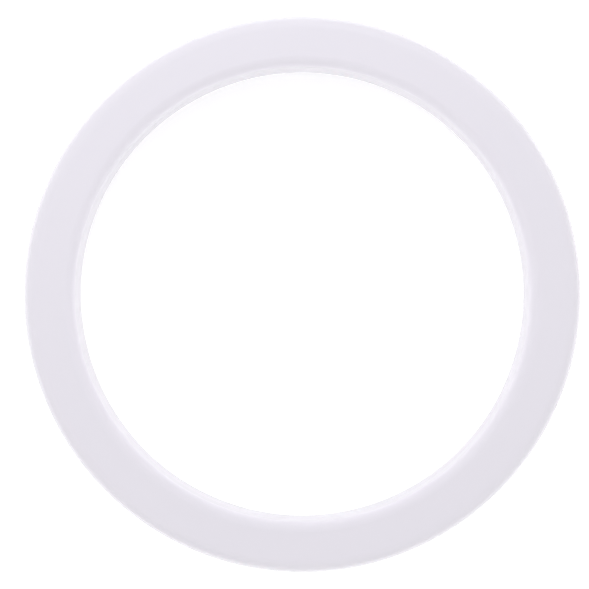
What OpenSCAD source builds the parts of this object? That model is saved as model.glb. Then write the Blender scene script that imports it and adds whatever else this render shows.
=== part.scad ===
// Rhythmic hoop with a moulded body: two ring shells lap at mid-depth and close around a bent tube.
// The hoop lies on its rear face in the XY plane, its axis is +Z, and z = 0 is the rest face.

/* [Body] */
// Outer diameter of the hoop
hoop_d = 380; // [340:5:460]
// Radial width of the body, from the hole to the outer edge
body_w = 35.5; // [33:0.5:42]
// Depth of the body, from the rest face to the front face
body_depth = 28; // [26:1:36]
// Rounding of the outer edges, front and rear
outer_round = 11; // [8:0.5:12]
// Rounding of the edges around the hole, front and rear
inner_round = 6.5; // [5:0.5:7]
// Wall thickness of both shells
shell_wall = 2; // [1.6:0.1:2.6]

/* [Shell joint] */
// Thickness of the front shell's lap, which slides inside the rear shell's walls
lap_t = 1.2; // [0.8:0.1:1.6]
// Length of the lap below the parting plane
lap_l = 3; // [2:0.5:5]
// Height of the root that joins the lap to the front shell's wall
lap_root = 2; // [1:0.5:3]
// Clearance between the lap and the rear shell
lap_fit = 0.1; // [0.05:0.05:0.2]
// Depth of the V line that the two shells leave where they meet
parting_v = 0.25; // [0.1:0.05:0.5]

/* [Core tube] */
// Outer diameter of the tube
tube_d = 13; // [11:0.5:14]
// Wall thickness of the tube
tube_wall = 1.6; // [1:0.1:2.2]
// Thickness of the soft cushions around the tube
cushion_t = 1.2; // [0.8:0.1:1.5]
// Length of a cushion along the tube
cushion_l = 8; // [5:1:14]
// Gap between the cushions and the outer lap
core_gap = 0.6; // [0.3:0.1:1]
// Clearance between a cushion and the ribs that cradle it
saddle_fit = 0.05; // [0.05:0.05:0.3]

/* [Tube joint] */
// Length of the plug inside the tube's ends
plug_l = 70; // [60:2:90]
// Clearance between the plug and the tube's bore
plug_fit = 0.1; // [0.05:0.05:0.3]
// Width of the plug's collar between the tube's ends
collar_w = 2; // [1:0.5:4]
// Gap between the collar and each end of the tube
collar_fit = 0.1; // [0.05:0.05:0.3]
// Pins through each end of the tube
pins_per_end = 2; // [1:1:3]
// Diameter of a pin
pin_d = 3; // [2:0.5:4]
// Distance from the tube's end to the first pin
pin_edge = 9; // [6:1:12]
// Distance from one pin to the next
pin_pitch = 12; // [7:1:12]
// Clearance around a pin
pin_fit = 0.05; // [0.05:0.05:0.2]
// How far a pin's ends lie below the surface of the tube
pin_sink = 0.4; // [0.3:0.1:1]

/* [Screws and posts] */
// Stations around the hoop, each with a screw, a pair of posts and a pair of ribs
stations = 12; // [8:1:16]
// Thickness of a rib
rib_t = 2; // [1.4:0.2:3]
// Gap between the ribs of the two shells
rib_gap = 2; // [1:0.5:4]
// Diameter of the posts
post_d = 7.2; // [6.8:0.2:8]
// Gap between the posts and the cushions
post_gap = 0.4; // [0.3:0.1:0.8]
// Diameter of the screw's shank
screw_d = 3; // [2.5:0.1:3.2]
// Clearance around the shank in the front post
thread_fit = 0.05; // [0.05:0.05:0.1]
// Clearance around the shank in the rear post
shank_fit = 0.2; // [0.15:0.05:0.4]
// Diameter of the screw's head
head_d = 5.6; // [5:0.1:6]
// Height of the screw's head
head_h = 2; // [1.6:0.2:2.6]
// Clearance around the head
head_fit = 0.2; // [0.1:0.05:0.3]
// Thickness of plastic left between a screw's tip and the front face
tip_cover = 4.2; // [3.6:0.2:8]
// Free depth of the bore past the screw's tip
tip_gap = 0.6; // [0.3:0.1:1]
// Diameter of the spigot that locates a front post in a rear post
spigot_d = 5.2; // [4.6:0.1:5.6]
// Length of the spigot
spigot_l = 2; // [1:0.5:3]
// Clearance around and below the spigot
spigot_fit = 0.1; // [0.05:0.05:0.2]
// Length of the arms of the cross slot in a screw's head
slot_l = 3.2; // [2.6:0.1:3.6]
// Width of those arms
slot_w = 0.7; // [0.5:0.1:1]
// Depth of those arms
slot_depth = 1.1; // [0.8:0.1:1.3]

/* [Screw caps] */
// Diameter of a cap
cap_d = 6.6; // [6.4:0.1:7]
// Thickness of a cap
cap_t = 1.3; // [1:0.1:1.6]
// How far a cap lies below the rest face
cap_sink = 0.3; // [0.2:0.1:0.5]
// Clearance around a cap
cap_fit = 0.05; // [0.05:0.05:0.15]
// Gap between a cap and the screw's head
cap_gap = 0.2; // [0.1:0.1:0.5]
// Wall of the sleeve around a cap's recess
sleeve_wall = 1; // [0.8:0.1:1.4]
// Thickness of the seat under a screw's head
seat_t = 2; // [1.6:0.2:3]

/* [Hidden] */
$fn = 96;

hoop_r = hoop_d / 2;
hole_r = hoop_r - body_w;
parting_z = body_depth / 2;

inner_lap_r = hole_r + shell_wall + lap_fit;
outer_lap_r = hoop_r - shell_wall - lap_fit;
lap_z = parting_z - lap_l;

cushion_r = tube_d / 2 + cushion_t;
core_r = outer_lap_r - lap_t - core_gap - cushion_r;
core_z = parting_z;
post_r = core_r - cushion_r - post_gap - post_d / 2;

station_pitch = 360 / stations;
joint_turn = station_pitch / 2 - 90;

cap_recess_r = cap_d / 2 + cap_fit;
cap_seat_z = cap_sink + cap_t;
head_z = cap_seat_z + cap_gap;
head_seat_z = head_z + head_h;
sleeve_top_z = head_seat_z + seat_t;
tip_z = body_depth - tip_cover;

// How far a cut runs past the surface that it opens
past = 1;

// Angle at the core's radius that spans a length along the tube.
function core_turn(length) = length / core_r * 180 / PI;

module at_stations() {
    for (i = [0 : stations - 1])
        rotate([0, 0, i * station_pitch]) children();
}

module at_pins() {
    for (side = [-1, 1], i = [0 : pins_per_end - 1])
        rotate([0, 0, joint_turn + side * core_turn(collar_w / 2 + pin_edge + i * pin_pitch)])
            translate([core_r, 0, core_z]) children();
}

// Outline of the body at one place around the hoop, drawn in by an inset on every side.
module body_section(inset = 0) {
    inner_corner = inner_round - inset;
    outer_corner = outer_round - inset;
    flat_start = hole_r + inner_round;
    flat_end = hoop_r - outer_round;
    translate([flat_start, inset])
        square([flat_end - flat_start, body_depth - 2 * inset]);
    translate([hole_r + inset, inner_round])
        square([inner_corner, body_depth - 2 * inner_round]);
    translate([flat_end, outer_round])
        square([outer_corner, body_depth - 2 * outer_round]);
    for (z = [inner_round, body_depth - inner_round])
        translate([flat_start, z]) circle(r = inner_corner);
    for (z = [outer_round, body_depth - outer_round])
        translate([flat_end, z]) circle(r = outer_corner);
}

// Everything in front of a height, or behind it, as a region of the section.
module in_front_of(z) {
    translate([hole_r, z]) square([body_w, body_depth]);
}

module behind(z) {
    translate([hole_r, z - body_depth]) square([body_w, body_depth]);
}

// The V line in both walls, where the shells meet.
module parting_line() {
    for (r = [hole_r, hoop_r])
        translate([r, parting_z]) rotate(45) square(parting_v * sqrt(2), center = true);
}

// The laps' own room inside the rear shell, with clearance below them.
module lap_room() {
    room_z = lap_z - lap_fit;
    translate([hole_r, room_z])
        square([inner_lap_r + lap_t + lap_fit - hole_r, body_depth]);
    translate([outer_lap_r - lap_t - lap_fit, room_z])
        square([hoop_r - outer_lap_r + lap_t + lap_fit, body_depth]);
}

module front_wall_section() {
    difference() {
        intersection() {
            body_section();
            in_front_of(parting_z);
        }
        body_section(shell_wall);
        parting_line();
    }
    // Inner lap and its root
    translate([inner_lap_r, lap_z]) square([lap_t, lap_l + lap_root]);
    translate([hole_r + shell_wall / 2, parting_z])
        square([inner_lap_r - hole_r - shell_wall / 2 + lap_t / 2, lap_root]);
    // Outer lap and its root
    translate([outer_lap_r - lap_t, lap_z]) square([lap_t, lap_l + lap_root]);
    translate([outer_lap_r - lap_t / 2, parting_z])
        square([hoop_r - shell_wall / 2 - outer_lap_r + lap_t / 2, lap_root]);
}

module rear_wall_section() {
    difference() {
        intersection() {
            body_section();
            behind(parting_z);
        }
        body_section(shell_wall);
        parting_line();
    }
}

// A flat rib across the body, from an outline drawn in the section.
module rib() {
    rotate([90, 0, 0]) linear_extrude(rib_t, center = true) children();
}

module core_room() {
    rotate_extrude()
        translate([core_r, core_z]) circle(r = cushion_r + saddle_fit);
}

module front_shell() {
    color("whitesmoke")
    difference() {
        union() {
            rotate_extrude() front_wall_section();
            difference() {
                at_stations() rib() intersection() {
                    body_section(shell_wall / 2);
                    in_front_of(parting_z + rib_gap / 2);
                }
                core_room();
            }
            at_stations() translate([post_r, 0, parting_z])
                cylinder(d = post_d, h = parting_z - shell_wall / 2);
            at_stations() translate([post_r, 0, parting_z - spigot_l])
                cylinder(d = spigot_d, h = spigot_l);
        }
        at_stations() translate([post_r, 0, 0])
            cylinder(d = screw_d + 2 * thread_fit, h = tip_z + tip_gap);
    }
}

module rear_shell() {
    color("whitesmoke")
    difference() {
        union() {
            rotate_extrude() rear_wall_section();
            difference() {
                at_stations() rib() difference() {
                    intersection() {
                        body_section(shell_wall / 2);
                        behind(parting_z - rib_gap / 2);
                    }
                    lap_room();
                }
                core_room();
            }
            at_stations() translate([post_r, 0, shell_wall / 2])
                cylinder(d = post_d, h = parting_z - shell_wall / 2);
            at_stations() translate([post_r, 0, shell_wall / 2])
                cylinder(r = cap_recess_r + sleeve_wall, h = sleeve_top_z - shell_wall / 2);
        }
        at_stations() translate([post_r, 0, 0]) {
            translate([0, 0, -past]) cylinder(r = cap_recess_r, h = cap_seat_z + past);
            cylinder(d = head_d + 2 * head_fit, h = head_seat_z);
            cylinder(d = screw_d + 2 * shank_fit, h = parting_z + past);
            translate([0, 0, parting_z - spigot_l - spigot_fit])
                cylinder(d = spigot_d + 2 * spigot_fit, h = spigot_l + past);
        }
    }
}

module core_tube() {
    gap_turn = core_turn(collar_w / 2 + collar_fit);
    color("gainsboro")
    difference() {
        rotate([0, 0, joint_turn + gap_turn])
            rotate_extrude(angle = 360 - 2 * gap_turn)
                translate([core_r, core_z]) difference() {
                    circle(d = tube_d);
                    circle(d = tube_d - 2 * tube_wall);
                }
        at_pins() cylinder(d = pin_d + 2 * pin_fit, h = tube_d + 2 * past, center = true);
    }
}

module joint_plug() {
    color("dimgray")
    difference() {
        rotate([0, 0, joint_turn]) {
            rotate([0, 0, -core_turn(plug_l / 2)])
                rotate_extrude(angle = core_turn(plug_l))
                    translate([core_r, core_z]) circle(d = tube_d - 2 * tube_wall - 2 * plug_fit);
            rotate([0, 0, -core_turn(collar_w / 2)])
                rotate_extrude(angle = core_turn(collar_w))
                    translate([core_r, core_z]) circle(d = tube_d);
        }
        at_pins() cylinder(d = pin_d + 2 * pin_fit, h = tube_d + 2 * past, center = true);
    }
}

module joint_pins() {
    color("silver")
    at_pins() cylinder(d = pin_d, h = tube_d - 2 * pin_sink, center = true);
}

module core_cushions() {
    color("darkgray")
    at_stations()
        rotate([0, 0, -core_turn(cushion_l / 2)])
            rotate_extrude(angle = core_turn(cushion_l))
                translate([core_r, core_z]) difference() {
                    circle(r = cushion_r);
                    circle(d = tube_d);
                }
}

module shell_screws() {
    color("silver")
    at_stations() translate([post_r, 0, 0])
        difference() {
            union() {
                translate([0, 0, head_z]) cylinder(d = head_d, h = head_h);
                translate([0, 0, head_seat_z]) cylinder(d = screw_d, h = tip_z - head_seat_z);
            }
            for (turn = [0, 90])
                rotate([0, 0, turn]) translate([-slot_l / 2, -slot_w / 2, head_z - past])
                    cube([slot_l, slot_w, slot_depth + past]);
        }
}

module screw_caps() {
    color("whitesmoke")
    at_stations() translate([post_r, 0, cap_sink]) cylinder(d = cap_d, h = cap_t);
}

front_shell();
rear_shell();
core_tube();
joint_plug();
joint_pins();
core_cushions();
shell_screws();
screw_caps();
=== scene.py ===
# %% [markdown]
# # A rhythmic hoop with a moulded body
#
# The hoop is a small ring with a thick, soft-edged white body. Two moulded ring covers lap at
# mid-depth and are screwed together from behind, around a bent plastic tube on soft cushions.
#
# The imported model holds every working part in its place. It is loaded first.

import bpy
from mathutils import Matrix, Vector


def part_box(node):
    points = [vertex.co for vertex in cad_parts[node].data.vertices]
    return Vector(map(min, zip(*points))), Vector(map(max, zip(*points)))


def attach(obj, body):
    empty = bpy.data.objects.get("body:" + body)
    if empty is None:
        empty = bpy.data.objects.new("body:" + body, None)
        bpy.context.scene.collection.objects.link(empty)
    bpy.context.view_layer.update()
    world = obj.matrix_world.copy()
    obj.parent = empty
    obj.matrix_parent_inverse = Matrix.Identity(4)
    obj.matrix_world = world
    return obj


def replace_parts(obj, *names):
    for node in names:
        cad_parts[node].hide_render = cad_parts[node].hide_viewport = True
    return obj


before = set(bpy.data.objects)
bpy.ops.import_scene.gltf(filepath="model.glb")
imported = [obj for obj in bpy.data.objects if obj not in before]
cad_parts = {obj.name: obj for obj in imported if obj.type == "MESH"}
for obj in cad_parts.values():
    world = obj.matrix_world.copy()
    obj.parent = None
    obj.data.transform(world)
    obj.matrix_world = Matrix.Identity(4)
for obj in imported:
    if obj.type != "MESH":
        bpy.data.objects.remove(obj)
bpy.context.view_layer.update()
print("packed nodes:", sorted(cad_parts))

# %% [markdown]
# ## Working in millimetres
#
# A moulded cover is drawn in millimetres, and Blender works here in metres. One factor, `MM`,
# turns the one into the other, so each size below can be read as a maker would write it.
#
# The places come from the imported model. The hoop's radius, its depth and the height of the joint
# between the covers are read from boxes. The hole has no box of its own, so its radius is the
# distance from the axis to the nearest point of the front cover's mesh.

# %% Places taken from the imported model
import math

import bmesh
import bpy
from mathutils import Vector

MM = 0.001
TOUCH = 0.001 * MM

front_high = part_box("front_shell")[1]
rear_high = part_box("rear_shell")[1]
hoop_radius = rear_high.x
depth = front_high.z
parting_z = rear_high.z
hole_radius = round(
    min(v.co.xy.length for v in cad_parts["front_shell"].data.vertices), 5
)
print("hoop radius, hole radius, depth, parting height in mm:",
      [round(v / MM, 2) for v in (hoop_radius, hole_radius, depth, parting_z)])

# %% [markdown]
# ## Drawing a moulded wall
#
# Each cover is a wall of even thickness that runs once around the hoop. It could be a torus cut
# in half, but a torus has no flat faces and no step where the covers lap. A line given thickness
# by a Solidify modifier has no lap either. So the cut face of the wall is drawn as a closed
# outline, its corners are rounded, and the outline is spun once around the hoop's axis, which is
# how the mould itself is turned.
#
# The outline is drawn like a pen line: a plane is merged into one vertex, and the vertex is
# extruded from corner to corner until it meets its start.

# %% Draw an outline in the XZ plane
def select_nothing():
    if bpy.context.mode != "OBJECT":
        bpy.ops.object.mode_set(mode="OBJECT")
    bpy.ops.object.select_all(action="DESELECT")


def select_only(piece):
    select_nothing()
    piece.select_set(True)
    bpy.context.view_layer.objects.active = piece


def draw_outline(name, corners):
    """Draw a filled outline through (x, z) corners, and leave it open in edit mode."""
    select_nothing()
    bpy.ops.mesh.primitive_plane_add(size=MM)
    outline = bpy.context.object
    outline.name = outline.data.name = name
    bpy.ops.object.mode_set(mode="EDIT")
    bpy.ops.mesh.merge(type="CENTER")
    first_x, first_z = corners[0]
    bpy.ops.transform.translate(value=(first_x, 0, first_z))
    for (x, z), (next_x, next_z) in zip(corners, corners[1:] + corners[:1]):
        leg = (next_x - x, 0, next_z - z)
        bpy.ops.mesh.extrude_vertices_move(TRANSFORM_OT_translate={"value": leg})
    bpy.ops.mesh.select_all(action="SELECT")
    bpy.ops.mesh.remove_doubles(threshold=TOUCH)
    bpy.ops.mesh.edge_face_add()
    return outline


# %% [markdown]
# A corner is found again by its place, and the bevel tool in its vertex form turns it into an
# arc. The offset of the bevel is the arc's radius, because every corner here is a right angle.

# %% Round corners by their place
def round_corners(outline, places, radius, segments):
    """Turn the outline's corners at these (x, z) places into arcs."""
    bpy.ops.mesh.select_all(action="DESELECT")
    drawn = bmesh.from_edit_mesh(outline.data)
    targets = [Vector((x, 0, z)) for x, z in places]
    for corner in drawn.verts:
        near = any((corner.co - target).length < 2 * TOUCH for target in targets)
        corner.select_set(near)
    drawn.select_flush_mode()
    bmesh.update_edit_mesh(outline.data)
    bpy.ops.mesh.bevel(offset=radius, segments=segments, affect="VERTICES")


# %% [markdown]
# Spin leaves its last copy on top of the first. The doubles are merged, an edge that lay on the
# axis is left over and deleted as loose, and since a spun shape can come out inside out, its
# normals are recalculated before anything is cut from it.

# %% Spin an outline into a solid of revolution
def spin_outline(outline, steps, axis_x=0.0):
    """Spin the outline once around an upright axis at axis_x, and go back to object mode."""
    bpy.ops.mesh.select_all(action="SELECT")
    bpy.ops.mesh.delete(type="ONLY_FACE")
    bpy.ops.mesh.select_all(action="SELECT")
    bpy.ops.mesh.spin(steps=steps, angle=math.tau, center=(axis_x, 0, 0), axis=(0, 0, 1))
    bpy.ops.mesh.select_all(action="SELECT")
    bpy.ops.mesh.remove_doubles(threshold=TOUCH)
    bpy.ops.mesh.delete_loose()
    bpy.ops.mesh.select_all(action="SELECT")
    bpy.ops.mesh.normals_make_consistent(inside=False)
    bpy.ops.object.mode_set(mode="OBJECT")
    print(outline.name, "has", len(outline.data.polygons), "faces after the spin")
    return outline


# %% [markdown]
# ## The two ring walls
#
# A wall of two millimetres follows the body's soft edges, with the larger rounding outside, where
# the hoop rolls. The front cover carries a thin lap that slides inside the rear cover. Where the
# covers meet, both walls are chamfered a quarter of a millimetre, so the joint shows as a fine
# even line.
#
# The front wall's outline goes up the wall of the hole, over the front face and down the outer
# wall, then along the outer lap, back under the front face, and along the inner lap.

# %% Sizes that both walls share
wall = 2 * MM
outer_round = 11 * MM
inner_round = 6.5 * MM
joint_chamfer = 0.25 * MM
lap_fit = 0.1 * MM
lap_thickness = 1.2 * MM
lap_length = 3 * MM
lap_root = 2 * MM
lap_lead_in = 0.3 * MM
ring_steps = 240
round_steps = 14
lead_in_steps = 2

inner_lap = hole_radius + wall + lap_fit
outer_lap = hoop_radius - wall - lap_fit
lap_end_z = parting_z - lap_length
print("laps at radius", round(inner_lap / MM, 2), "and", round(outer_lap / MM, 2), "mm")


def round_wall(outline, face_z, under_z):
    """Round a wall at both edges of the hoop, on its face and on its underside."""
    for inset, z in ((0, face_z), (wall, under_z)):
        round_corners(outline, [(hoop_radius - inset, z)], outer_round - inset, round_steps)
        round_corners(outline, [(hole_radius + inset, z)], inner_round - inset, round_steps)


# %% Spin the front wall
def make_front_wall():
    root_z = parting_z + lap_root
    corners = [
        (hole_radius + joint_chamfer, parting_z),
        (hole_radius, parting_z + joint_chamfer),
        (hole_radius, depth),
        (hoop_radius, depth),
        (hoop_radius, parting_z + joint_chamfer),
        (hoop_radius - joint_chamfer, parting_z),
        (outer_lap, parting_z),
        (outer_lap, lap_end_z),
        (outer_lap - lap_thickness, lap_end_z),
        (outer_lap - lap_thickness, root_z),
        (hoop_radius - wall, root_z),
        (hoop_radius - wall, depth - wall),
        (hole_radius + wall, depth - wall),
        (hole_radius + wall, root_z),
        (inner_lap + lap_thickness, root_z),
        (inner_lap + lap_thickness, lap_end_z),
        (inner_lap, lap_end_z),
        (inner_lap, parting_z),
    ]
    outline = draw_outline("front_cover", corners)
    round_wall(outline, depth, depth - wall)
    lap_tips = [(inner_lap, lap_end_z), (outer_lap, lap_end_z)]
    round_corners(outline, lap_tips, lap_lead_in, lead_in_steps)
    return spin_outline(outline, ring_steps)


front_cover = make_front_wall()


# %% Spin the rear wall
def make_rear_wall():
    corners = [
        (hole_radius + joint_chamfer, parting_z),
        (hole_radius, parting_z - joint_chamfer),
        (hole_radius, 0),
        (hoop_radius, 0),
        (hoop_radius, parting_z - joint_chamfer),
        (hoop_radius - joint_chamfer, parting_z),
        (hoop_radius - wall, parting_z),
        (hoop_radius - wall, wall),
        (hole_radius + wall, wall),
        (hole_radius + wall, parting_z),
    ]
    outline = draw_outline("rear_cover", corners)
    round_wall(outline, 0, wall)
    return spin_outline(outline, ring_steps)


rear_cover = make_rear_wall()

# %% [markdown]
# ## Posts and ribs inside the covers
#
# At twelve stations a screw runs through a rear post into a front post, and a thin rib in each
# cover cradles the tube's cushion. All stations are alike, so one is modelled, at the +X side,
# and copied around the hoop. A post starts as a cylinder: the front one's end face is inset and
# extruded into the spigot that locates it in the rear one. A rib is a drawn outline that is
# extruded to its thickness, and a cylinder a little larger than the cushion cuts its cradle.
#
# The rib and the post cross each other, so they are joined by a union before the screw's bore is
# cut through both. Cutting last keeps the bore open.

# %% Places of the stations
stations = 12
caps_low, caps_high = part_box("screw_caps")
screws_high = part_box("shell_screws")[1]
cushions_low, cushions_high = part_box("core_cushions")
cap_radius = 3.3 * MM
post_x = round(caps_high.x - cap_radius, 5)
cushion_radius = round((cushions_high.z - cushions_low.z) / 2, 4)
core_x = round(cushions_high.x, 4) - cushion_radius
print("posts at radius", round(post_x / MM, 2), "mm, tube at", round(core_x / MM, 2), "mm")


# %% [markdown]
# Cutting and joining are one modifier with two settings. The helper applies it and removes the
# tool, so that only the result stays in the scene.

# %% Cut or join with a tool solid
def combine(piece, tool, operation):
    """Apply a boolean with the tool to the piece, and remove the tool."""
    select_only(piece)
    change = piece.modifiers.new(operation.lower(), "BOOLEAN")
    change.operation = operation
    change.object = tool
    change.solver = "EXACT"
    bpy.ops.object.modifier_apply(modifier=change.name)
    bpy.data.objects.remove(tool)
    return piece


# %% A post, stepped at one end
post_sides = 64


def add_upright(name, radius, low_z, high_z):
    """An upright cylinder on the post's axis, at the +X side."""
    select_nothing()
    bpy.ops.mesh.primitive_cylinder_add(
        vertices=post_sides,
        radius=radius,
        depth=high_z - low_z,
        location=(post_x, 0, (low_z + high_z) / 2),
    )
    bpy.ops.object.transform_apply(location=True, rotation=True, scale=True)
    piece = bpy.context.object
    piece.name = piece.data.name = name
    return piece


def add_post(name, radius, foot_z, step_z, step_radius, end_z):
    """An upright post whose end is stepped down to a smaller radius."""
    post = add_upright(name, radius, min(foot_z, step_z), max(foot_z, step_z))
    select_level_faces(post, step_z)
    bpy.ops.mesh.inset(thickness=radius - step_radius)
    step = (0, 0, end_z - step_z)
    bpy.ops.mesh.extrude_region_move(TRANSFORM_OT_translate={"value": step})
    leave_edit_mode()
    return post


def select_level_faces(piece, z):
    """Select only the faces that lie flat at this height, in edit mode."""
    bpy.ops.object.mode_set(mode="EDIT")
    bpy.ops.mesh.select_mode(type="FACE")
    bpy.ops.mesh.select_all(action="DESELECT")
    drawn = bmesh.from_edit_mesh(piece.data)
    for face in drawn.faces:
        face.select_set(all(abs(corner.co.z - z) < TOUCH for corner in face.verts))
    bmesh.update_edit_mesh(piece.data)


def leave_edit_mode():
    bpy.ops.mesh.select_mode(type="VERT")
    bpy.ops.object.mode_set(mode="OBJECT")


# %% A rib with a cradle for the cushion
rib_thickness = 2 * MM
rib_gap = 2 * MM
cradle_fit = 0.05 * MM
cradle_sides = 128
cutter_length = 3 * rib_thickness


def make_rib(name, corners, rounded):
    """Extrude a rib's outline to its thickness, and cut the cradle into it."""
    rib = draw_outline(name, corners)
    for place, radius in rounded:
        round_corners(rib, [place], radius, round_steps)
    bpy.ops.mesh.select_all(action="SELECT")
    bpy.ops.transform.translate(value=(0, -rib_thickness / 2, 0))
    across = (0, rib_thickness, 0)
    bpy.ops.mesh.extrude_region_move(TRANSFORM_OT_translate={"value": across})
    bpy.ops.mesh.select_all(action="SELECT")
    bpy.ops.mesh.normals_make_consistent(inside=False)
    bpy.ops.object.mode_set(mode="OBJECT")
    select_nothing()
    bpy.ops.mesh.primitive_cylinder_add(
        vertices=cradle_sides,
        radius=cushion_radius + cradle_fit,
        depth=cutter_length,
        location=(core_x, 0, parting_z),
        rotation=(math.pi / 2, 0, 0),
    )
    return combine(rib, bpy.context.object, "DIFFERENCE")


# %% [markdown]
# Bores and recesses are cut with turned pins: an outline from the post's axis outwards, with a
# step for every fit, spun around that axis. The chamfers at their mouths are in the pins too.

# %% A turned pin that cuts one bore
def make_pin(name, profile):
    """Spin (radius, z) steps, from the lowest to the highest, around the post's axis."""
    low_z, high_z = profile[0][1], profile[-1][1]
    corners = [(post_x, low_z)]
    corners += [(post_x + radius, z) for radius, z in profile]
    corners += [(post_x, high_z)]
    return spin_outline(draw_outline(name, corners), post_sides, post_x)


# %% One station of the front cover
past = 1 * MM
mouth_chamfer = 0.25 * MM
post_radius = 3.6 * MM
spigot_radius = 2.6 * MM
spigot_length = 2 * MM
thread_radius = 1.55 * MM
tip_gap = 0.6 * MM
rib_near = hole_radius + wall / 2
rib_far = hoop_radius - wall / 2


def make_front_station():
    low, high = parting_z + rib_gap / 2, depth - wall / 2
    corners = [(rib_near, low), (rib_near, high), (rib_far, high), (rib_far, low)]
    rounded = [
        ((rib_near, high), inner_round - wall / 2),
        ((rib_far, high), outer_round - wall / 2),
    ]
    station = make_rib("front_station", corners, rounded)
    spigot_z = parting_z - spigot_length
    post = add_post("front_post", post_radius, high, parting_z, spigot_radius, spigot_z)
    combine(station, post, "UNION")
    bore = make_pin("screw_bore", [
        (thread_radius + mouth_chamfer, spigot_z - past),
        (thread_radius + mouth_chamfer, spigot_z),
        (thread_radius, spigot_z + mouth_chamfer),
        (thread_radius, screws_high.z + tip_gap),
    ])
    return combine(station, bore, "DIFFERENCE")


front_station = make_front_station()
print("front station:", len(front_station.data.polygons), "faces")

# %% One station of the rear cover
sleeve_radius = 4.35 * MM
sleeve_top_z = 5.8 * MM


def make_rear_station():
    low, high = wall / 2, parting_z - rib_gap / 2
    notch_z = lap_end_z - lap_fit
    inner_notch = inner_lap + lap_thickness + lap_fit
    outer_notch = outer_lap - lap_thickness - lap_fit
    corners = [
        (rib_near, low), (rib_near, notch_z), (inner_notch, notch_z), (inner_notch, high),
        (outer_notch, high), (outer_notch, notch_z), (rib_far, notch_z), (rib_far, low),
    ]
    rounded = [
        ((rib_near, low), inner_round - wall / 2),
        ((rib_far, low), outer_round - wall / 2),
    ]
    station = make_rib("rear_station", corners, rounded)
    post = add_post("rear_post", sleeve_radius, low, sleeve_top_z, post_radius, parting_z)
    return combine(station, post, "UNION")


rear_station = make_rear_station()
print("rear station:", len(rear_station.data.polygons), "faces")

# %% [markdown]
# The recess in the rest face, the room for the screw's head, the clearance for its shank and the
# socket for the spigot are the steps of one pin. It is cut last, through wall and post alike.

# %% The pin that cuts a rear post from end to end
cap_recess_radius = 3.35 * MM
head_recess_radius = 3 * MM
shank_radius = 1.7 * MM
socket_radius = 2.7 * MM
socket_gap = 0.1 * MM
socket_z = parting_z - spigot_length - socket_gap
head_seat_z = 3.8 * MM

rear_pin = make_pin("rear_pin", [
    (cap_recess_radius + mouth_chamfer, -past),
    (cap_recess_radius + mouth_chamfer, 0),
    (cap_recess_radius, mouth_chamfer),
    (cap_recess_radius, caps_high.z),
    (head_recess_radius, caps_high.z),
    (head_recess_radius, head_seat_z),
    (shank_radius, head_seat_z),
    (shank_radius, socket_z),
    (socket_radius, socket_z),
    (socket_radius, parting_z - mouth_chamfer),
    (socket_radius + mouth_chamfer, parting_z),
    (socket_radius + mouth_chamfer, parting_z + past),
])


# %% [markdown]
# ## Twelve of everything
#
# A duplicate with its own mesh is turned around the hoop's axis in edit mode, so that its object
# stays unturned at the origin and only its vertices move.

# %% Copy a piece to every station
def copy_around(piece):
    """Return the piece and its copies, one at every station."""
    ring = [piece]
    for i in range(1, stations):
        select_only(piece)
        bpy.ops.object.duplicate()
        copy = bpy.context.object
        bpy.ops.object.mode_set(mode="EDIT")
        bpy.ops.mesh.select_all(action="SELECT")
        turn = math.tau * i / stations
        bpy.ops.transform.rotate(value=turn, orient_axis="Z", center_override=(0, 0, 0))
        bpy.ops.object.mode_set(mode="OBJECT")
        ring.append(copy)
    return ring


def join_all(ring):
    """Join the copies into the first piece."""
    select_nothing()
    for piece in ring:
        piece.select_set(True)
    bpy.context.view_layer.objects.active = ring[0]
    bpy.ops.object.join()
    return ring[0]


# %% Build the stations into the covers
combine(front_cover, join_all(copy_around(front_station)), "UNION")
combine(rear_cover, join_all(copy_around(rear_station)), "UNION")
combine(rear_cover, join_all(copy_around(rear_pin)), "DIFFERENCE")

# %% [markdown]
# A boolean leaves slivers where two surfaces almost meet. They have no area and would spoil the
# shading, so they are dissolved. Then the faces are shaded smooth up to an angle, and weighted
# normals keep the wide flats flat beside their narrow roundings, as on a well made mould.

# %% Clean and smooth a finished piece
smooth_angle = math.radians(32)


def finish_surface(piece):
    """Dissolve slivers, shade smooth up to an angle, and weight the normals."""
    select_only(piece)
    bpy.ops.object.mode_set(mode="EDIT")
    bpy.ops.mesh.select_all(action="SELECT")
    bpy.ops.mesh.dissolve_degenerate(threshold=TOUCH)
    bpy.ops.object.mode_set(mode="OBJECT")
    bpy.ops.object.shade_smooth_by_angle(angle=smooth_angle)
    weighted = piece.modifiers.new("even_flats", "WEIGHTED_NORMAL")
    weighted.keep_sharp = True
    bpy.ops.object.modifier_apply(modifier=weighted.name)
    print(piece.name, "is finished with", len(piece.data.polygons), "faces")


for cover in (front_cover, rear_cover):
    finish_surface(cover)

# %% [markdown]
# ## Screw caps
#
# A cap is a small moulded disc, pressed into its recess until it lies a little below the rest
# face. It starts as a cylinder. The rim of its outer face is bevelled, the inner face is inset
# and pushed in, because such a cap is moulded hollow, and a small notch at the rim lets a blade
# lift it out.

# %% Model one cap and copy it
cap_rim = 0.3 * MM
cap_rim_steps = 4
cap_wall = 0.8 * MM
cap_hollow = 0.6 * MM
notch_width = 1.6 * MM
notch_reach = 0.5 * MM
notch_depth = 0.35 * MM
notch_sides = 32


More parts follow.
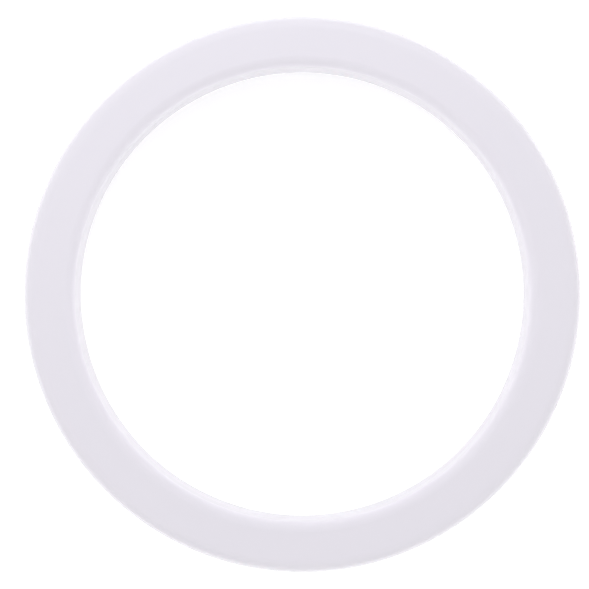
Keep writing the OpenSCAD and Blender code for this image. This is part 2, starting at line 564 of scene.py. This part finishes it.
def make_cap():
    cap = add_upright("screw_cap", cap_radius, caps_low.z, caps_high.z)
    select_level_faces(cap, caps_low.z)
    bpy.ops.mesh.bevel(offset=cap_rim, segments=cap_rim_steps, affect="EDGES")
    leave_edit_mode()
    select_level_faces(cap, caps_high.z)
    bpy.ops.mesh.inset(thickness=cap_wall)
    bpy.ops.mesh.extrude_region_move(TRANSFORM_OT_translate={"value": (0, 0, -cap_hollow)})
    leave_edit_mode()
    select_nothing()
    bpy.ops.mesh.primitive_cylinder_add(
        vertices=notch_sides,
        radius=notch_width / 2,
        depth=2 * notch_depth,
        location=(post_x - cap_radius + notch_reach - notch_width / 2, 0, caps_low.z),
    )
    combine(cap, bpy.context.object, "DIFFERENCE")
    finish_surface(cap)
    return cap


screw_caps = copy_around(make_cap())
for number, cap in enumerate(screw_caps, 1):
    cap.name = cap.data.name = f"screw_cap_{number}"

# %% [markdown]
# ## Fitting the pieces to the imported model
#
# Nothing on this hoop moves, so it has one body, and every piece rides on it. The new covers and
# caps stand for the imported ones, which are then hidden. The tube, its joint, the cushions and
# the screws are already right in shape, and they only get a finish.

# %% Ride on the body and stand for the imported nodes
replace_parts(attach(front_cover, "root"), "front_shell")
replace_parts(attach(rear_cover, "root"), "rear_shell")
for cap in screw_caps:
    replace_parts(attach(cap, "root"), "screw_caps")
print("new pieces:", 2 + len(screw_caps))

# %% [markdown]
# ## Building materials from nodes
#
# A material is a small tree of nodes. One helper adds a node, sets its values and links its
# inputs, so that a tree can be read from top to bottom like a recipe. Patterns read the object's
# own coordinates in metres: a noise scale of 2000 therefore means two thousand grains a metre.

# %% Add a node and wire its inputs
def add(tree, kind, inputs=None, **settings):
    """Add a shader node with its settings, and set or link its inputs."""
    node = tree.nodes.new("ShaderNode" + kind)
    for name, value in settings.items():
        setattr(node, name, value)
    for name, value in (inputs or {}).items():
        if isinstance(value, bpy.types.NodeSocket):
            tree.links.new(value, node.inputs[name])
        else:
            node.inputs[name].default_value = value
    return node


def calculate(tree, operation, *values, clamp=False):
    """One Math node, and its result."""
    node = add(tree, "Math", dict(enumerate(values)), operation=operation, use_clamp=clamp)
    return node.outputs[0]


def fade(tree, value, start, end):
    """0 at start, 1 at end, with a soft run between them."""
    inputs = {"Value": value, "From Min": start, "From Max": end}
    node = add(tree, "MapRange", inputs, interpolation_type="SMOOTHSTEP")
    return node.outputs[0]


def blend_values(tree, factor, low, high):
    """A value between two, where low and high are sockets or numbers."""
    node = add(tree, "Mix", {0: factor, 2: low, 3: high}, data_type="FLOAT")
    return node.outputs[0]


def noise(tree, place, per_metre, detail, roughness=0.5):
    """A noise between 0 and 1, with so many grains a metre."""
    inputs = {"Vector": place, "Scale": per_metre, "Detail": detail, "Roughness": roughness}
    return add(tree, "TexNoise", inputs).outputs["Fac"]


# %% Start a shader node group
def new_group(name, inputs, outputs):
    """A node group with named float or vector inputs and float outputs."""
    tree = bpy.data.node_groups.new(name, "ShaderNodeTree")
    for label, kind, value in inputs:
        socket = tree.interface.new_socket(label, in_out="INPUT", socket_type=kind)
        if value is not None:
            socket.default_value = value
    for label in outputs:
        tree.interface.new_socket(label, in_out="OUTPUT", socket_type="NodeSocketFloat")
    return tree, tree.nodes.new("NodeGroupInput"), tree.nodes.new("NodeGroupOutput")


FLOAT = "NodeSocketFloat"
VECTOR = "NodeSocketVector"

# %% [markdown]
# ## Mould texture
#
# Plastic takes over the fine grain that polishing leaves in its mould, and it waves a very little
# over a few millimetres, because it shrinks unevenly as it cools. Both could be displacement,
# but they are a few hundredths of a millimetre deep, so bump is the honest tool. The group puts
# out one height, and each plastic piece sets its own grain and waviness.

# %% Group: mould texture
def make_mould_texture():
    tree, start, end = new_group(
        "mould_texture",
        [("Position", VECTOR, None), ("Grains per Metre", FLOAT, 2400.0),
         ("Waves per Metre", FLOAT, 160.0), ("Waviness", FLOAT, 0.5)],
        ["Height"],
    )
    place = start.outputs["Position"]
    grain = noise(tree, place, start.outputs["Grains per Metre"], detail=2.0, roughness=0.6)
    waves = noise(tree, place, start.outputs["Waves per Metre"], detail=1.0)
    height = blend_values(tree, start.outputs["Waviness"], grain, waves)
    tree.links.new(height, end.inputs["Height"])
    return tree


mould_texture = make_mould_texture()


def texture(tree, place, grains_per_metre, waves_per_metre, waviness):
    """Place the mould texture in a material, and its height."""
    return add(tree, "Group", {
        "Position": place,
        "Grains per Metre": grains_per_metre,
        "Waves per Metre": waves_per_metre,
        "Waviness": waviness,
    }, node_tree=mould_texture).outputs["Height"]


# %% [markdown]
# ## Soft mottle
#
# No moulded or drawn surface has one exact tone. Pigment spreads in broad clouds, and handling
# leaves smaller ones. The group mixes both sizes into a value around one half, and a material
# uses it to move between two neighbouring colours, or to vary its roughness.

# %% Group: soft mottle
small_clouds_per_broad = 9.0
small_share = 0.35


def make_soft_mottle():
    tree, start, end = new_group(
        "soft_mottle",
        [("Position", VECTOR, None), ("Clouds per Metre", FLOAT, 12.0),
         ("Contrast", FLOAT, 1.0)],
        ["Tone"],
    )
    place = start.outputs["Position"]
    broad_scale = start.outputs["Clouds per Metre"]
    small_scale = calculate(tree, "MULTIPLY", broad_scale, small_clouds_per_broad)
    broad = noise(tree, place, broad_scale, detail=2.0)
    small = noise(tree, place, small_scale, detail=3.0)
    both = blend_values(tree, small_share, broad, small)
    centred = calculate(tree, "SUBTRACT", both, 0.5)
    scaled = calculate(tree, "MULTIPLY", centred, start.outputs["Contrast"])
    tone = calculate(tree, "ADD", scaled, 0.5, clamp=True)
    tree.links.new(tone, end.inputs["Tone"])
    return tree


soft_mottle = make_soft_mottle()


def mottle(tree, place, clouds_per_metre, contrast):
    """Place the soft mottle in a material, and its tone."""
    return add(tree, "Group", {
        "Position": place,
        "Clouds per Metre": clouds_per_metre,
        "Contrast": contrast,
    }, node_tree=soft_mottle).outputs["Tone"]


# %% [markdown]
# ## Handling marks
#
# A hoop is rolled, caught and dropped, and each time a few hair-fine scuffs are added. The
# borders of stretched Voronoi cells are long, thin and slightly bent, as real scuffs are. Two
# layers in two directions cross each other, and a noise rubs most of them out again, so that
# they come in patches.
#
# A Mapping node scales before it turns, so two layers made that way would both be stretched the
# same way. Set to Texture it turns first, and each layer is stretched in a direction of its own.
# The cells are flat: they read the first two numbers of a position, and each material passes a
# place on its own skin, so that a scuff runs over a rounding as it runs over a face.

# %% Group: handling marks
scuff_turns_and_stretches = ((0.6, 7.0), (2.0, 10.0))
patches_per_mark = 0.6
patch_edge = 0.15


def make_handling_marks():
    tree, start, end = new_group(
        "handling_marks",
        [("Position", VECTOR, None), ("Marks per Metre", FLOAT, 60.0),
         ("Line Width", FLOAT, 0.012), ("Coverage", FLOAT, 0.35)],
        ["Marks"],
    )
    place = start.outputs["Position"]
    mark_scale = start.outputs["Marks per Metre"]
    layers = []
    for turn, stretch in scuff_turns_and_stretches:
        laid = add(tree, "Mapping", {
            "Vector": place,
            "Rotation": (0.0, 0.0, turn),
            "Scale": (1.0, stretch, 1.0),
        }, vector_type="TEXTURE")
        cells = add(tree, "TexVoronoi", {
            "Vector": laid.outputs["Vector"],
            "Scale": mark_scale,
        }, feature="DISTANCE_TO_EDGE", voronoi_dimensions="2D")
        layers.append(fade(tree, cells.outputs["Distance"], start.outputs["Line Width"], 0.0))
    lines = calculate(tree, "MAXIMUM", *layers)
    patch_scale = calculate(tree, "MULTIPLY", mark_scale, patches_per_mark)
    patches = noise(tree, place, patch_scale, detail=3.0)
    least = calculate(tree, "SUBTRACT", 1.0, start.outputs["Coverage"])
    most = calculate(tree, "ADD", least, patch_edge)
    kept = fade(tree, patches, least, most)
    marks = calculate(tree, "MULTIPLY", lines, kept)
    tree.links.new(marks, end.inputs["Marks"])
    return tree


handling_marks = make_handling_marks()


def scuffs(tree, place, marks_per_metre, line_width, coverage):
    """Place the handling marks in a material, and where they lie."""
    return add(tree, "Group", {
        "Position": place,
        "Marks per Metre": marks_per_metre,
        "Line Width": line_width,
        "Coverage": coverage,
    }, node_tree=handling_marks).outputs["Marks"]


# %% [markdown]
# ## Turning marks
#
# Pins and screws are cut on a lathe, which leaves fine rings around them. Both stand upright
# here, so a noise that only changes with height draws the rings. A second noise over the whole
# surface breaks their evenness.

# %% Group: turning marks
uneven_spots_per_metre = 900.0


def make_turning_marks():
    tree, start, end = new_group(
        "turning_marks",
        [("Position", VECTOR, None), ("Rings per Metre", FLOAT, 4000.0),
         ("Unevenness", FLOAT, 0.3)],
        ["Rings"],
    )
    place = start.outputs["Position"]
    height = add(tree, "SeparateXYZ", {"Vector": place}).outputs["Z"]
    upright = add(tree, "CombineXYZ", {"Z": height}).outputs["Vector"]
    rings = noise(tree, upright, start.outputs["Rings per Metre"], detail=2.0)
    spots = noise(tree, place, uneven_spots_per_metre, detail=2.0)
    uneven = blend_values(tree, start.outputs["Unevenness"], rings, spots)
    tree.links.new(uneven, end.inputs["Rings"])
    return tree


turning_marks = make_turning_marks()

# %% [markdown]
# ## Putting a material together
#
# Every material here has the same backbone: the object's coordinates, a Principled shader and
# the output. Numbers that are the same all over are set on the shader itself. What changes over
# the surface comes from the groups, and the short function below each group places it.

# %% Backbone of a material
def start_material(name, metallic=0.0, specular=0.5):
    """A material with a Principled shader, and the object coordinates to draw patterns with."""
    material = bpy.data.materials.new(name)
    material.use_nodes = True
    tree = material.node_tree
    tree.nodes.clear()
    place = add(tree, "TexCoord").outputs["Object"]
    shader = add(tree, "BsdfPrincipled", {
        "Metallic": metallic,
        "Specular IOR Level": specular,
    })
    add(tree, "OutputMaterial", {"Surface": shader.outputs["BSDF"]})
    return material, tree, place, shader


def blend_colours(tree, factor, low, high):
    """A colour between two, where low and high are sockets or red, green and blue."""
    ends = [c if isinstance(c, bpy.types.NodeSocket) else (*c, 1.0) for c in (low, high)]
    node = add(tree, "Mix", {0: factor, 6: ends[0], 7: ends[1]}, data_type="RGBA")
    return node.outputs[2]


def bump(tree, height, reach, strength=1.0):
    """A normal bumped by a height between 0 and 1, whose full height is reach in metres."""
    inputs = {"Height": height, "Distance": reach, "Strength": strength}
    return add(tree, "Bump", inputs).outputs["Normal"]


def finish_with(tree, shader, **parts):
    """Link what changes over the surface to the shader's sockets."""
    names = {
        "colour": "Base Color",
        "roughness": "Roughness",
        "skin": "Coat Weight",
        "normal": "Normal",
    }
    for part, socket in parts.items():
        tree.links.new(socket, shader.inputs[names[part]])


# %% [markdown]
# ## Finding a place on the ring
#
# Patterns on a ring follow the ring. Three numbers say where a point is: how far along the ring,
# how far from its axis, and how high. On the covers, the way across the skin is the distance from
# the middle of the band less the distance from the joint: over a face the first changes, down a
# wall the second does, and on a rounding the two add up.

# %% Ring coordinates
middle_radius = (hole_radius + hoop_radius) / 2


def ring_place(tree, place):
    """Distance along the ring, distance from its axis, and height."""
    parts = add(tree, "SeparateXYZ", {"Vector": place}).outputs
    flat = add(tree, "CombineXYZ", {"X": parts["X"], "Y": parts["Y"]}).outputs["Vector"]
    radius = add(tree, "VectorMath", {0: flat}, operation="LENGTH").outputs["Value"]
    turn = calculate(tree, "ARCTAN2", parts["Y"], parts["X"])
    return calculate(tree, "MULTIPLY", turn, middle_radius), radius, parts["Z"]


def away_from(tree, value, centre):
    """How far a value is from a centre, without its sign."""
    return calculate(tree, "ABSOLUTE", calculate(tree, "SUBTRACT", value, centre))


# %% [markdown]
# ## White moulded plastic
#
# The body is a cool, faintly violet white. The plastic itself is satin, and the polished mould
# leaves a thin glossy skin on it, which the shader's coat stands for: seen from above it hardly
# shows, and seen at a low angle it mirrors the white room, as on the wall of the hole. Two almost
# equal whites follow the mottle. The outer wall, on which the hoop rolls, is rubbed a little
# duller than the rest, scuffs break the skin, and a trace of dust sits in the fine line between
# the covers. All of this is kept faint: the hoop is new and clean, and the marks only show in a
# glancing light.
#
# The satin stays above a roughness of 0.28. Just below, at about 0.27, the render's denoiser
# starts to treat a surface as a mirror, and where a roughness that varies crosses that value,
# the edge shows as a blot that no light or shape explains.

# %% Material: white moulded plastic
WHITE = (0.800, 0.771, 0.836)
WHITE_SHADE = (0.786, 0.758, 0.826)
RUBBED_WHITE = (0.745, 0.725, 0.785)
JOINT_DUST = (0.46, 0.44, 0.46)
skin_roughness = 0.10
rolling_edge_start = 2.5 * MM
rolling_edge_end = 0.3 * MM
rubbed_elsewhere = 0.15
dust_full = 0.2 * joint_chamfer
rubbed_satin = 0.42
scuff_height = -0.3


def make_white_plastic():
    material, tree, place, shader = start_material("white_moulded_plastic")
    shader.inputs["Coat Roughness"].default_value = skin_roughness
    along, radius, height = ring_place(tree, place)
    from_joint = away_from(tree, height, parting_z)
    across = calculate(tree, "SUBTRACT", away_from(tree, radius, middle_radius), from_joint)
    skin_place = add(tree, "CombineXYZ", {"X": along, "Y": across}).outputs["Vector"]
    tone = mottle(tree, place, clouds_per_metre=11.0, contrast=1.6)
    marks = scuffs(tree, skin_place, marks_per_metre=160.0, line_width=0.018, coverage=0.52)
    grain = texture(tree, place, grains_per_metre=2600.0, waves_per_metre=130.0, waviness=0.45)
    edge_start = hoop_radius - rolling_edge_start
    edge_end = hoop_radius - rolling_edge_end
    rolling = blend_values(tree, fade(tree, radius, edge_start, edge_end), rubbed_elsewhere, 1.0)
    rubbed = calculate(tree, "MULTIPLY", rolling, marks)
    dusty = fade(tree, from_joint, joint_chamfer, dust_full)

    colour = blend_colours(tree, tone, WHITE_SHADE, WHITE)
    colour = blend_colours(tree, rubbed, colour, RUBBED_WHITE)
    colour = blend_colours(tree, dusty, colour, JOINT_DUST)
    satin = blend_values(tree, tone, low=0.29, high=0.35)
    satin = blend_values(tree, rubbed, satin, rubbed_satin)
    skin = blend_values(tree, rubbed, low=1.0, high=0.4)
    scuffed = calculate(tree, "MULTIPLY", rubbed, scuff_height)
    surface = calculate(tree, "ADD", grain, scuffed)
    normal = bump(tree, surface, reach=0.03 * MM, strength=0.5)
    finish_with(tree, shader, colour=colour, roughness=satin, skin=skin, normal=normal)
    return material


white_plastic = make_white_plastic()

# %% [markdown]
# ## White caps
#
# The caps are moulded in the same white, in a mould of their own. Their grain is finer than the
# covers', and they have no glossy skin.

# %% Material: cap plastic
CAP_WHITE = (0.792, 0.772, 0.830)
CAP_WHITE_SHADE = (0.770, 0.750, 0.806)
scuffed_cap_satin = 0.48


def make_cap_plastic():
    material, tree, place, shader = start_material("cap_plastic")
    tone = mottle(tree, place, clouds_per_metre=90.0, contrast=1.4)
    marks = scuffs(tree, place, marks_per_metre=180.0, line_width=0.02, coverage=0.5)
    grain = texture(tree, place, grains_per_metre=4200.0, waves_per_metre=500.0, waviness=0.3)
    colour = blend_colours(tree, tone, CAP_WHITE_SHADE, CAP_WHITE)
    satin = blend_values(tree, tone, low=0.30, high=0.38)
    satin = blend_values(tree, marks, satin, scuffed_cap_satin)
    normal = bump(tree, grain, reach=0.02 * MM, strength=0.5)
    finish_with(tree, shader, colour=colour, roughness=satin, normal=normal)
    return material


cap_plastic = make_cap_plastic()

# %% [markdown]
# ## The extruded tube
#
# The core tube is drawn through a die, which leaves fine lines along it. Lines along a bent tube
# are the same all the way around the hoop and change only around the tube's own section. So the
# pattern is drawn on two numbers: how far a point is from the tube's centre line outwards, and
# how far above it. The distance from the hoop's axis gives the first, the height the second.

# %% Material: extruded tube
TUBE_GREY = (0.62, 0.62, 0.60)
TUBE_GREY_SHADE = (0.54, 0.54, 0.52)
die_lines_per_metre = 1500.0
die_line_share = 0.5
tube_scuff_depth = 0.5


def make_tube_plastic():
    material, tree, place, shader = start_material("extruded_tube", specular=0.4)
    along, radius, height = ring_place(tree, place)
    outwards = calculate(tree, "SUBTRACT", radius, core_x)
    upwards = calculate(tree, "SUBTRACT", height, parting_z)
    section = add(tree, "CombineXYZ", {"X": outwards, "Y": upwards}).outputs["Vector"]
    around = calculate(tree, "ARCTAN2", upwards, outwards)
    across = calculate(tree, "MULTIPLY", around, cushion_radius)
    skin_place = add(tree, "CombineXYZ", {"X": along, "Y": across}).outputs["Vector"]
    die_lines = noise(tree, section, die_lines_per_metre, detail=3.0, roughness=0.7)
    tone = mottle(tree, place, clouds_per_metre=22.0, contrast=1.5)
    marks = scuffs(tree, skin_place, marks_per_metre=90.0, line_width=0.015, coverage=0.55)
    streaked = blend_values(tree, die_line_share, tone, die_lines)
    colour = blend_colours(tree, streaked, TUBE_GREY_SHADE, TUBE_GREY)
    matte = blend_values(tree, die_lines, low=0.48, high=0.62)
    scuffed = calculate(tree, "MULTIPLY", marks, tube_scuff_depth)
    surface = calculate(tree, "SUBTRACT", die_lines, scuffed)
    normal = bump(tree, surface, reach=0.04 * MM, strength=0.7)
    finish_with(tree, shader, colour=colour, roughness=matte, normal=normal)
    return material


tube_plastic = make_tube_plastic()

# %% [markdown]
# ## The joint plug
#
# The plug is nylon filled with short glass fibres, which show at its skin as pale flecks. Small
# Voronoi cells, kept only where they are nearly at their centre, make the flecks.

# %% Material: glass-filled nylon
NYLON_BLACK = (0.085, 0.085, 0.095)
NYLON_WORN = (0.13, 0.13, 0.14)
FIBRE_GREY = (0.34, 0.34, 0.34)
fibre_stretch = (1.0, 0.3, 1.0)
fibres_per_metre = 1400.0
fibre_strength = 0.5


def make_plug_plastic():
    material, tree, place, shader = start_material("glass_filled_nylon", specular=0.45)
    tone = mottle(tree, place, clouds_per_metre=60.0, contrast=1.8)
    grain = texture(tree, place, grains_per_metre=1800.0, waves_per_metre=300.0, waviness=0.25)
    laid = add(tree, "Mapping", {"Vector": place, "Scale": fibre_stretch}).outputs["Vector"]
    cells = add(tree, "TexVoronoi", {"Vector": laid, "Scale": fibres_per_metre})
    fibres = fade(tree, cells.outputs["Distance"], start=0.22, end=0.10)
    flecks = calculate(tree, "MULTIPLY", fibres, fibre_strength)
    colour = blend_colours(tree, tone, NYLON_BLACK, NYLON_WORN)
    colour = blend_colours(tree, flecks, colour, FIBRE_GREY)
    matte = blend_values(tree, grain, low=0.50, high=0.66)
    normal = bump(tree, grain, reach=0.05 * MM, strength=0.6)
    finish_with(tree, shader, colour=colour, roughness=matte, normal=normal)
    return material


plug_plastic = make_plug_plastic()

# %% [markdown]
# ## Turned steel
#
# Pins and screws share one recipe with different values. The pins are plain ground steel. The
# screws are zinc plated, which is paler, a little blue, and softens the lathe's rings.

# %% Materials: pins and screws
GROUND_STEEL = (0.63, 0.62, 0.60)
GROUND_STEEL_SHADE = (0.55, 0.54, 0.52)
ZINC = (0.70, 0.70, 0.69)
ZINC_SHADE = (0.60, 0.61, 0.63)
polish_spread = 0.08


def make_steel(name, shade, light, rings_per_metre, unevenness, roughness):
    material, tree, place, shader = start_material(name, metallic=1.0)
    rings = add(tree, "Group", {
        "Position": place,
        "Rings per Metre": rings_per_metre,
        "Unevenness": unevenness,
    }, node_tree=turning_marks).outputs["Rings"]
    tone = mottle(tree, place, clouds_per_metre=250.0, contrast=1.6)
    polish = blend_values(tree, rings, roughness - polish_spread, roughness + polish_spread)
    colour = blend_colours(tree, tone, shade, light)
    normal = bump(tree, rings, reach=0.015 * MM, strength=0.6)
    finish_with(tree, shader, colour=colour, roughness=polish, normal=normal)
    return material


pin_steel = make_steel(
    "ground_steel",
    GROUND_STEEL_SHADE,
    GROUND_STEEL,
    rings_per_metre=6000.0,
    unevenness=0.25,
    roughness=0.37,
)
screw_steel = make_steel(
    "zinc_plate",
    ZINC_SHADE,
    ZINC,
    rings_per_metre=3500.0,
    unevenness=0.55,
    roughness=0.40,
)

# %% [markdown]
# ## Foam rubber cushions
#
# The cushions are closed-cell foam rubber. Its skin is covered in small shallow pores, which are
# Voronoi cells seen from above: the height falls towards the middle of each cell, and the colour
# is darkened there as well, which is painted shade in the pores.

# %% Material: foam rubber
RUBBER_GREY = (0.125, 0.125, 0.135)
RUBBER_SHADE = (0.095, 0.095, 0.105)
PAINTED_PORE_SHADE = (0.055, 0.055, 0.060)
# The dark pore colour is painted shade, not a colour of the rubber.
pores_per_metre = 1500.0


def make_cushion_rubber():
    material, tree, place, shader = start_material("foam_rubber", specular=0.3)
    tone = mottle(tree, place, clouds_per_metre=120.0, contrast=1.8)
    cells = add(tree, "TexVoronoi", {"Vector": place, "Scale": pores_per_metre})
    pores = fade(tree, cells.outputs["Distance"], start=0.45, end=0.15)
    colour = blend_colours(tree, tone, RUBBER_SHADE, RUBBER_GREY)
    # Painted shade: the colour darkens towards the middle of each pore, where the bump sinks.
    colour = blend_colours(tree, pores, colour, PAINTED_PORE_SHADE)
    matte = blend_values(tree, tone, low=0.78, high=0.90)
    sunk = calculate(tree, "MULTIPLY", pores, -1.0)
    normal = bump(tree, sunk, reach=0.12 * MM, strength=0.8)
    finish_with(tree, shader, colour=colour, roughness=matte, normal=normal)
    return material


cushion_rubber = make_cushion_rubber()

# %% [markdown]
# A piece keeps one material slot, so the material goes into that slot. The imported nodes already
# have a slot each, and only what is in it changes.

# %% Give every piece its material
def dress(piece, material):
    if piece.material_slots:
        for slot in piece.material_slots:
            slot.material = material
    else:
        piece.data.materials.append(material)


for cover in (front_cover, rear_cover):
    dress(cover, white_plastic)
for cap in screw_caps:
    dress(cap, cap_plastic)
for node, material in (
    ("core_tube", tube_plastic),
    ("joint_plug", plug_plastic),
    ("joint_pins", pin_steel),
    ("core_cushions", cushion_rubber),
    ("shell_screws", screw_steel),
):
    dress(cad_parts[node], material)
print("materials in use:", sorted(m.name for m in bpy.data.materials if m.users))

# %% [markdown]
# ## Floor and room
#
# The hoop lies on a plain white floor in a white light tent. The floor reflects light like paper
# and keeps the hoop's soft shadow. To the camera, and in reflections, the floor is lifted a
# little with Light Path, so that it reads as white without a brighter lamp on the hoop.

# %% Floor
floor_size = 8.0
floor_white = 0.93
floor_lift = 0.34


def seen_directly(tree):
    """1 for rays from the camera, in a reflection or through glass, and 0 for light."""
    path = add(tree, "LightPath").outputs
    mirrored = calculate(tree, "MAXIMUM", path["Is Glossy Ray"], path["Is Transmission Ray"])
    return calculate(tree, "MAXIMUM", path["Is Camera Ray"], mirrored)


def make_floor():
    select_nothing()
    bpy.ops.mesh.primitive_plane_add(size=floor_size)
    floor = bpy.context.object
    floor.name = floor.data.name = "floor"
    material = bpy.data.materials.new("white_floor")
    material.use_nodes = True
    tree = material.node_tree
    tree.nodes.clear()
    paper = add(tree, "BsdfDiffuse", {"Color": (floor_white, floor_white, floor_white, 1.0)})
    lift = calculate(tree, "MULTIPLY", seen_directly(tree), floor_lift)
    glow = add(tree, "Emission", {"Color": (1.0, 1.0, 1.0, 1.0), "Strength": lift})
    both = add(tree, "AddShader", {0: paper.outputs["BSDF"], 1: glow.outputs["Emission"]})
    add(tree, "OutputMaterial", {"Surface": both.outputs["Shader"]})
    floor.data.materials.append(material)


make_floor()

# %% [markdown]
# The tent is the world. Its cloth walls glow softly, a ring of light runs around them at mid
# height, and the top is a dark opening that the camera looks through. So the hoop's edges are
# lit as well as its face, and no hard highlight shows. The strength follows the height of a
# direction, which is 0 at the horizon and 1 straight up. Like the floor, the tent is plain white
# where it is seen directly or in a reflection.

# %% World: a light tent
wall_light = 1.14
ring_light = 1.69
ring_foot = (0.37, 0.48)
ring_head = (0.70, 0.83)
tent_seen = 1.0


def make_tent():
    world = bpy.data.worlds.new("light_tent")
    bpy.context.scene.world = world
    world.use_nodes = True
    tree = world.node_tree
    tree.nodes.clear()
    direction = add(tree, "TexCoord").outputs["Generated"]
    height = add(tree, "SeparateXYZ", {"Vector": direction}).outputs["Z"]
    above_walls = fade(tree, height, *ring_foot)
    light = blend_values(tree, above_walls, wall_light, ring_light)
    light = blend_values(tree, fade(tree, height, *ring_head), light, 0.0)
    strength = blend_values(tree, seen_directly(tree), light, tent_seen)
    tent = add(tree, "Background", {"Color": (1.0, 1.0, 1.0, 1.0), "Strength": strength})
    add(tree, "OutputWorld", {"Surface": tent.outputs["Background"]})


make_tent()

# %% [markdown]
# ## One soft lamp
#
# A small soft lamp stands beyond the top of the hoop, at mid height and a little to the left. It
# brightens the edges that face it and falls off across the hoop, because it is close. A lower
# lamp would light the outer wall harder, and the wall would clip to white. It is only a small
# share of the light, so every colour still reads as written, and it is a touch cooler than the
# tent. It is kept out of reflections too: at a low angle the glossy skin would mirror it on top
# of the white tent, and the face would clip to a blank patch.

# %% Lamp
lamp_distance = 0.70
lamp_rise = math.radians(42)
lamp_turn = math.radians(105)
lamp_width = 0.9
lamp_height = 0.4
lamp_power = 0.90
lamp_colour = (0.94, 0.95, 1.0)
lamp_place = lamp_distance * Vector((
    math.cos(lamp_rise) * math.cos(lamp_turn),
    math.cos(lamp_rise) * math.sin(lamp_turn),
    math.sin(lamp_rise),
))


def make_lamp():
    light = bpy.data.lights.new("soft_lamp", "AREA")
    light.shape = "RECTANGLE"
    light.size = lamp_width
    light.size_y = lamp_height
    light.energy = lamp_power
    light.color = lamp_colour
    lamp = bpy.data.objects.new("soft_lamp", light)
    bpy.context.scene.collection.objects.link(lamp)
    lamp.location = lamp_place
    lamp.rotation_euler = (-lamp_place).to_track_quat("-Z", "Y").to_euler()
    lamp.visible_camera = False
    lamp.visible_glossy = False


make_lamp()

# %% [markdown]
# ## Camera
#
# The camera looks straight down the hoop's axis from about 1.6 diameters in front of its face,
# which is near enough to see a little of the wall inside the hole. A small shift sets the hoop a
# touch to the right of the middle.

# %% Camera
camera_height = 0.645
camera_lens = 56.0
camera_sensor = 36.0
camera_clip = 0.01
camera_shift_x = -0.0131
camera_shift_y = -0.0008

camera = bpy.data.objects.new("camera", bpy.data.cameras.new("camera"))
bpy.context.scene.collection.objects.link(camera)
bpy.context.scene.camera = camera
camera.location = (0, 0, camera_height)
camera.data.lens = camera_lens
camera.data.sensor_width = camera_sensor
camera.data.shift_x = camera_shift_x
camera.data.shift_y = camera_shift_y
camera.data.clip_start = camera_clip
bpy.context.scene.view_settings.view_transform = "Standard"
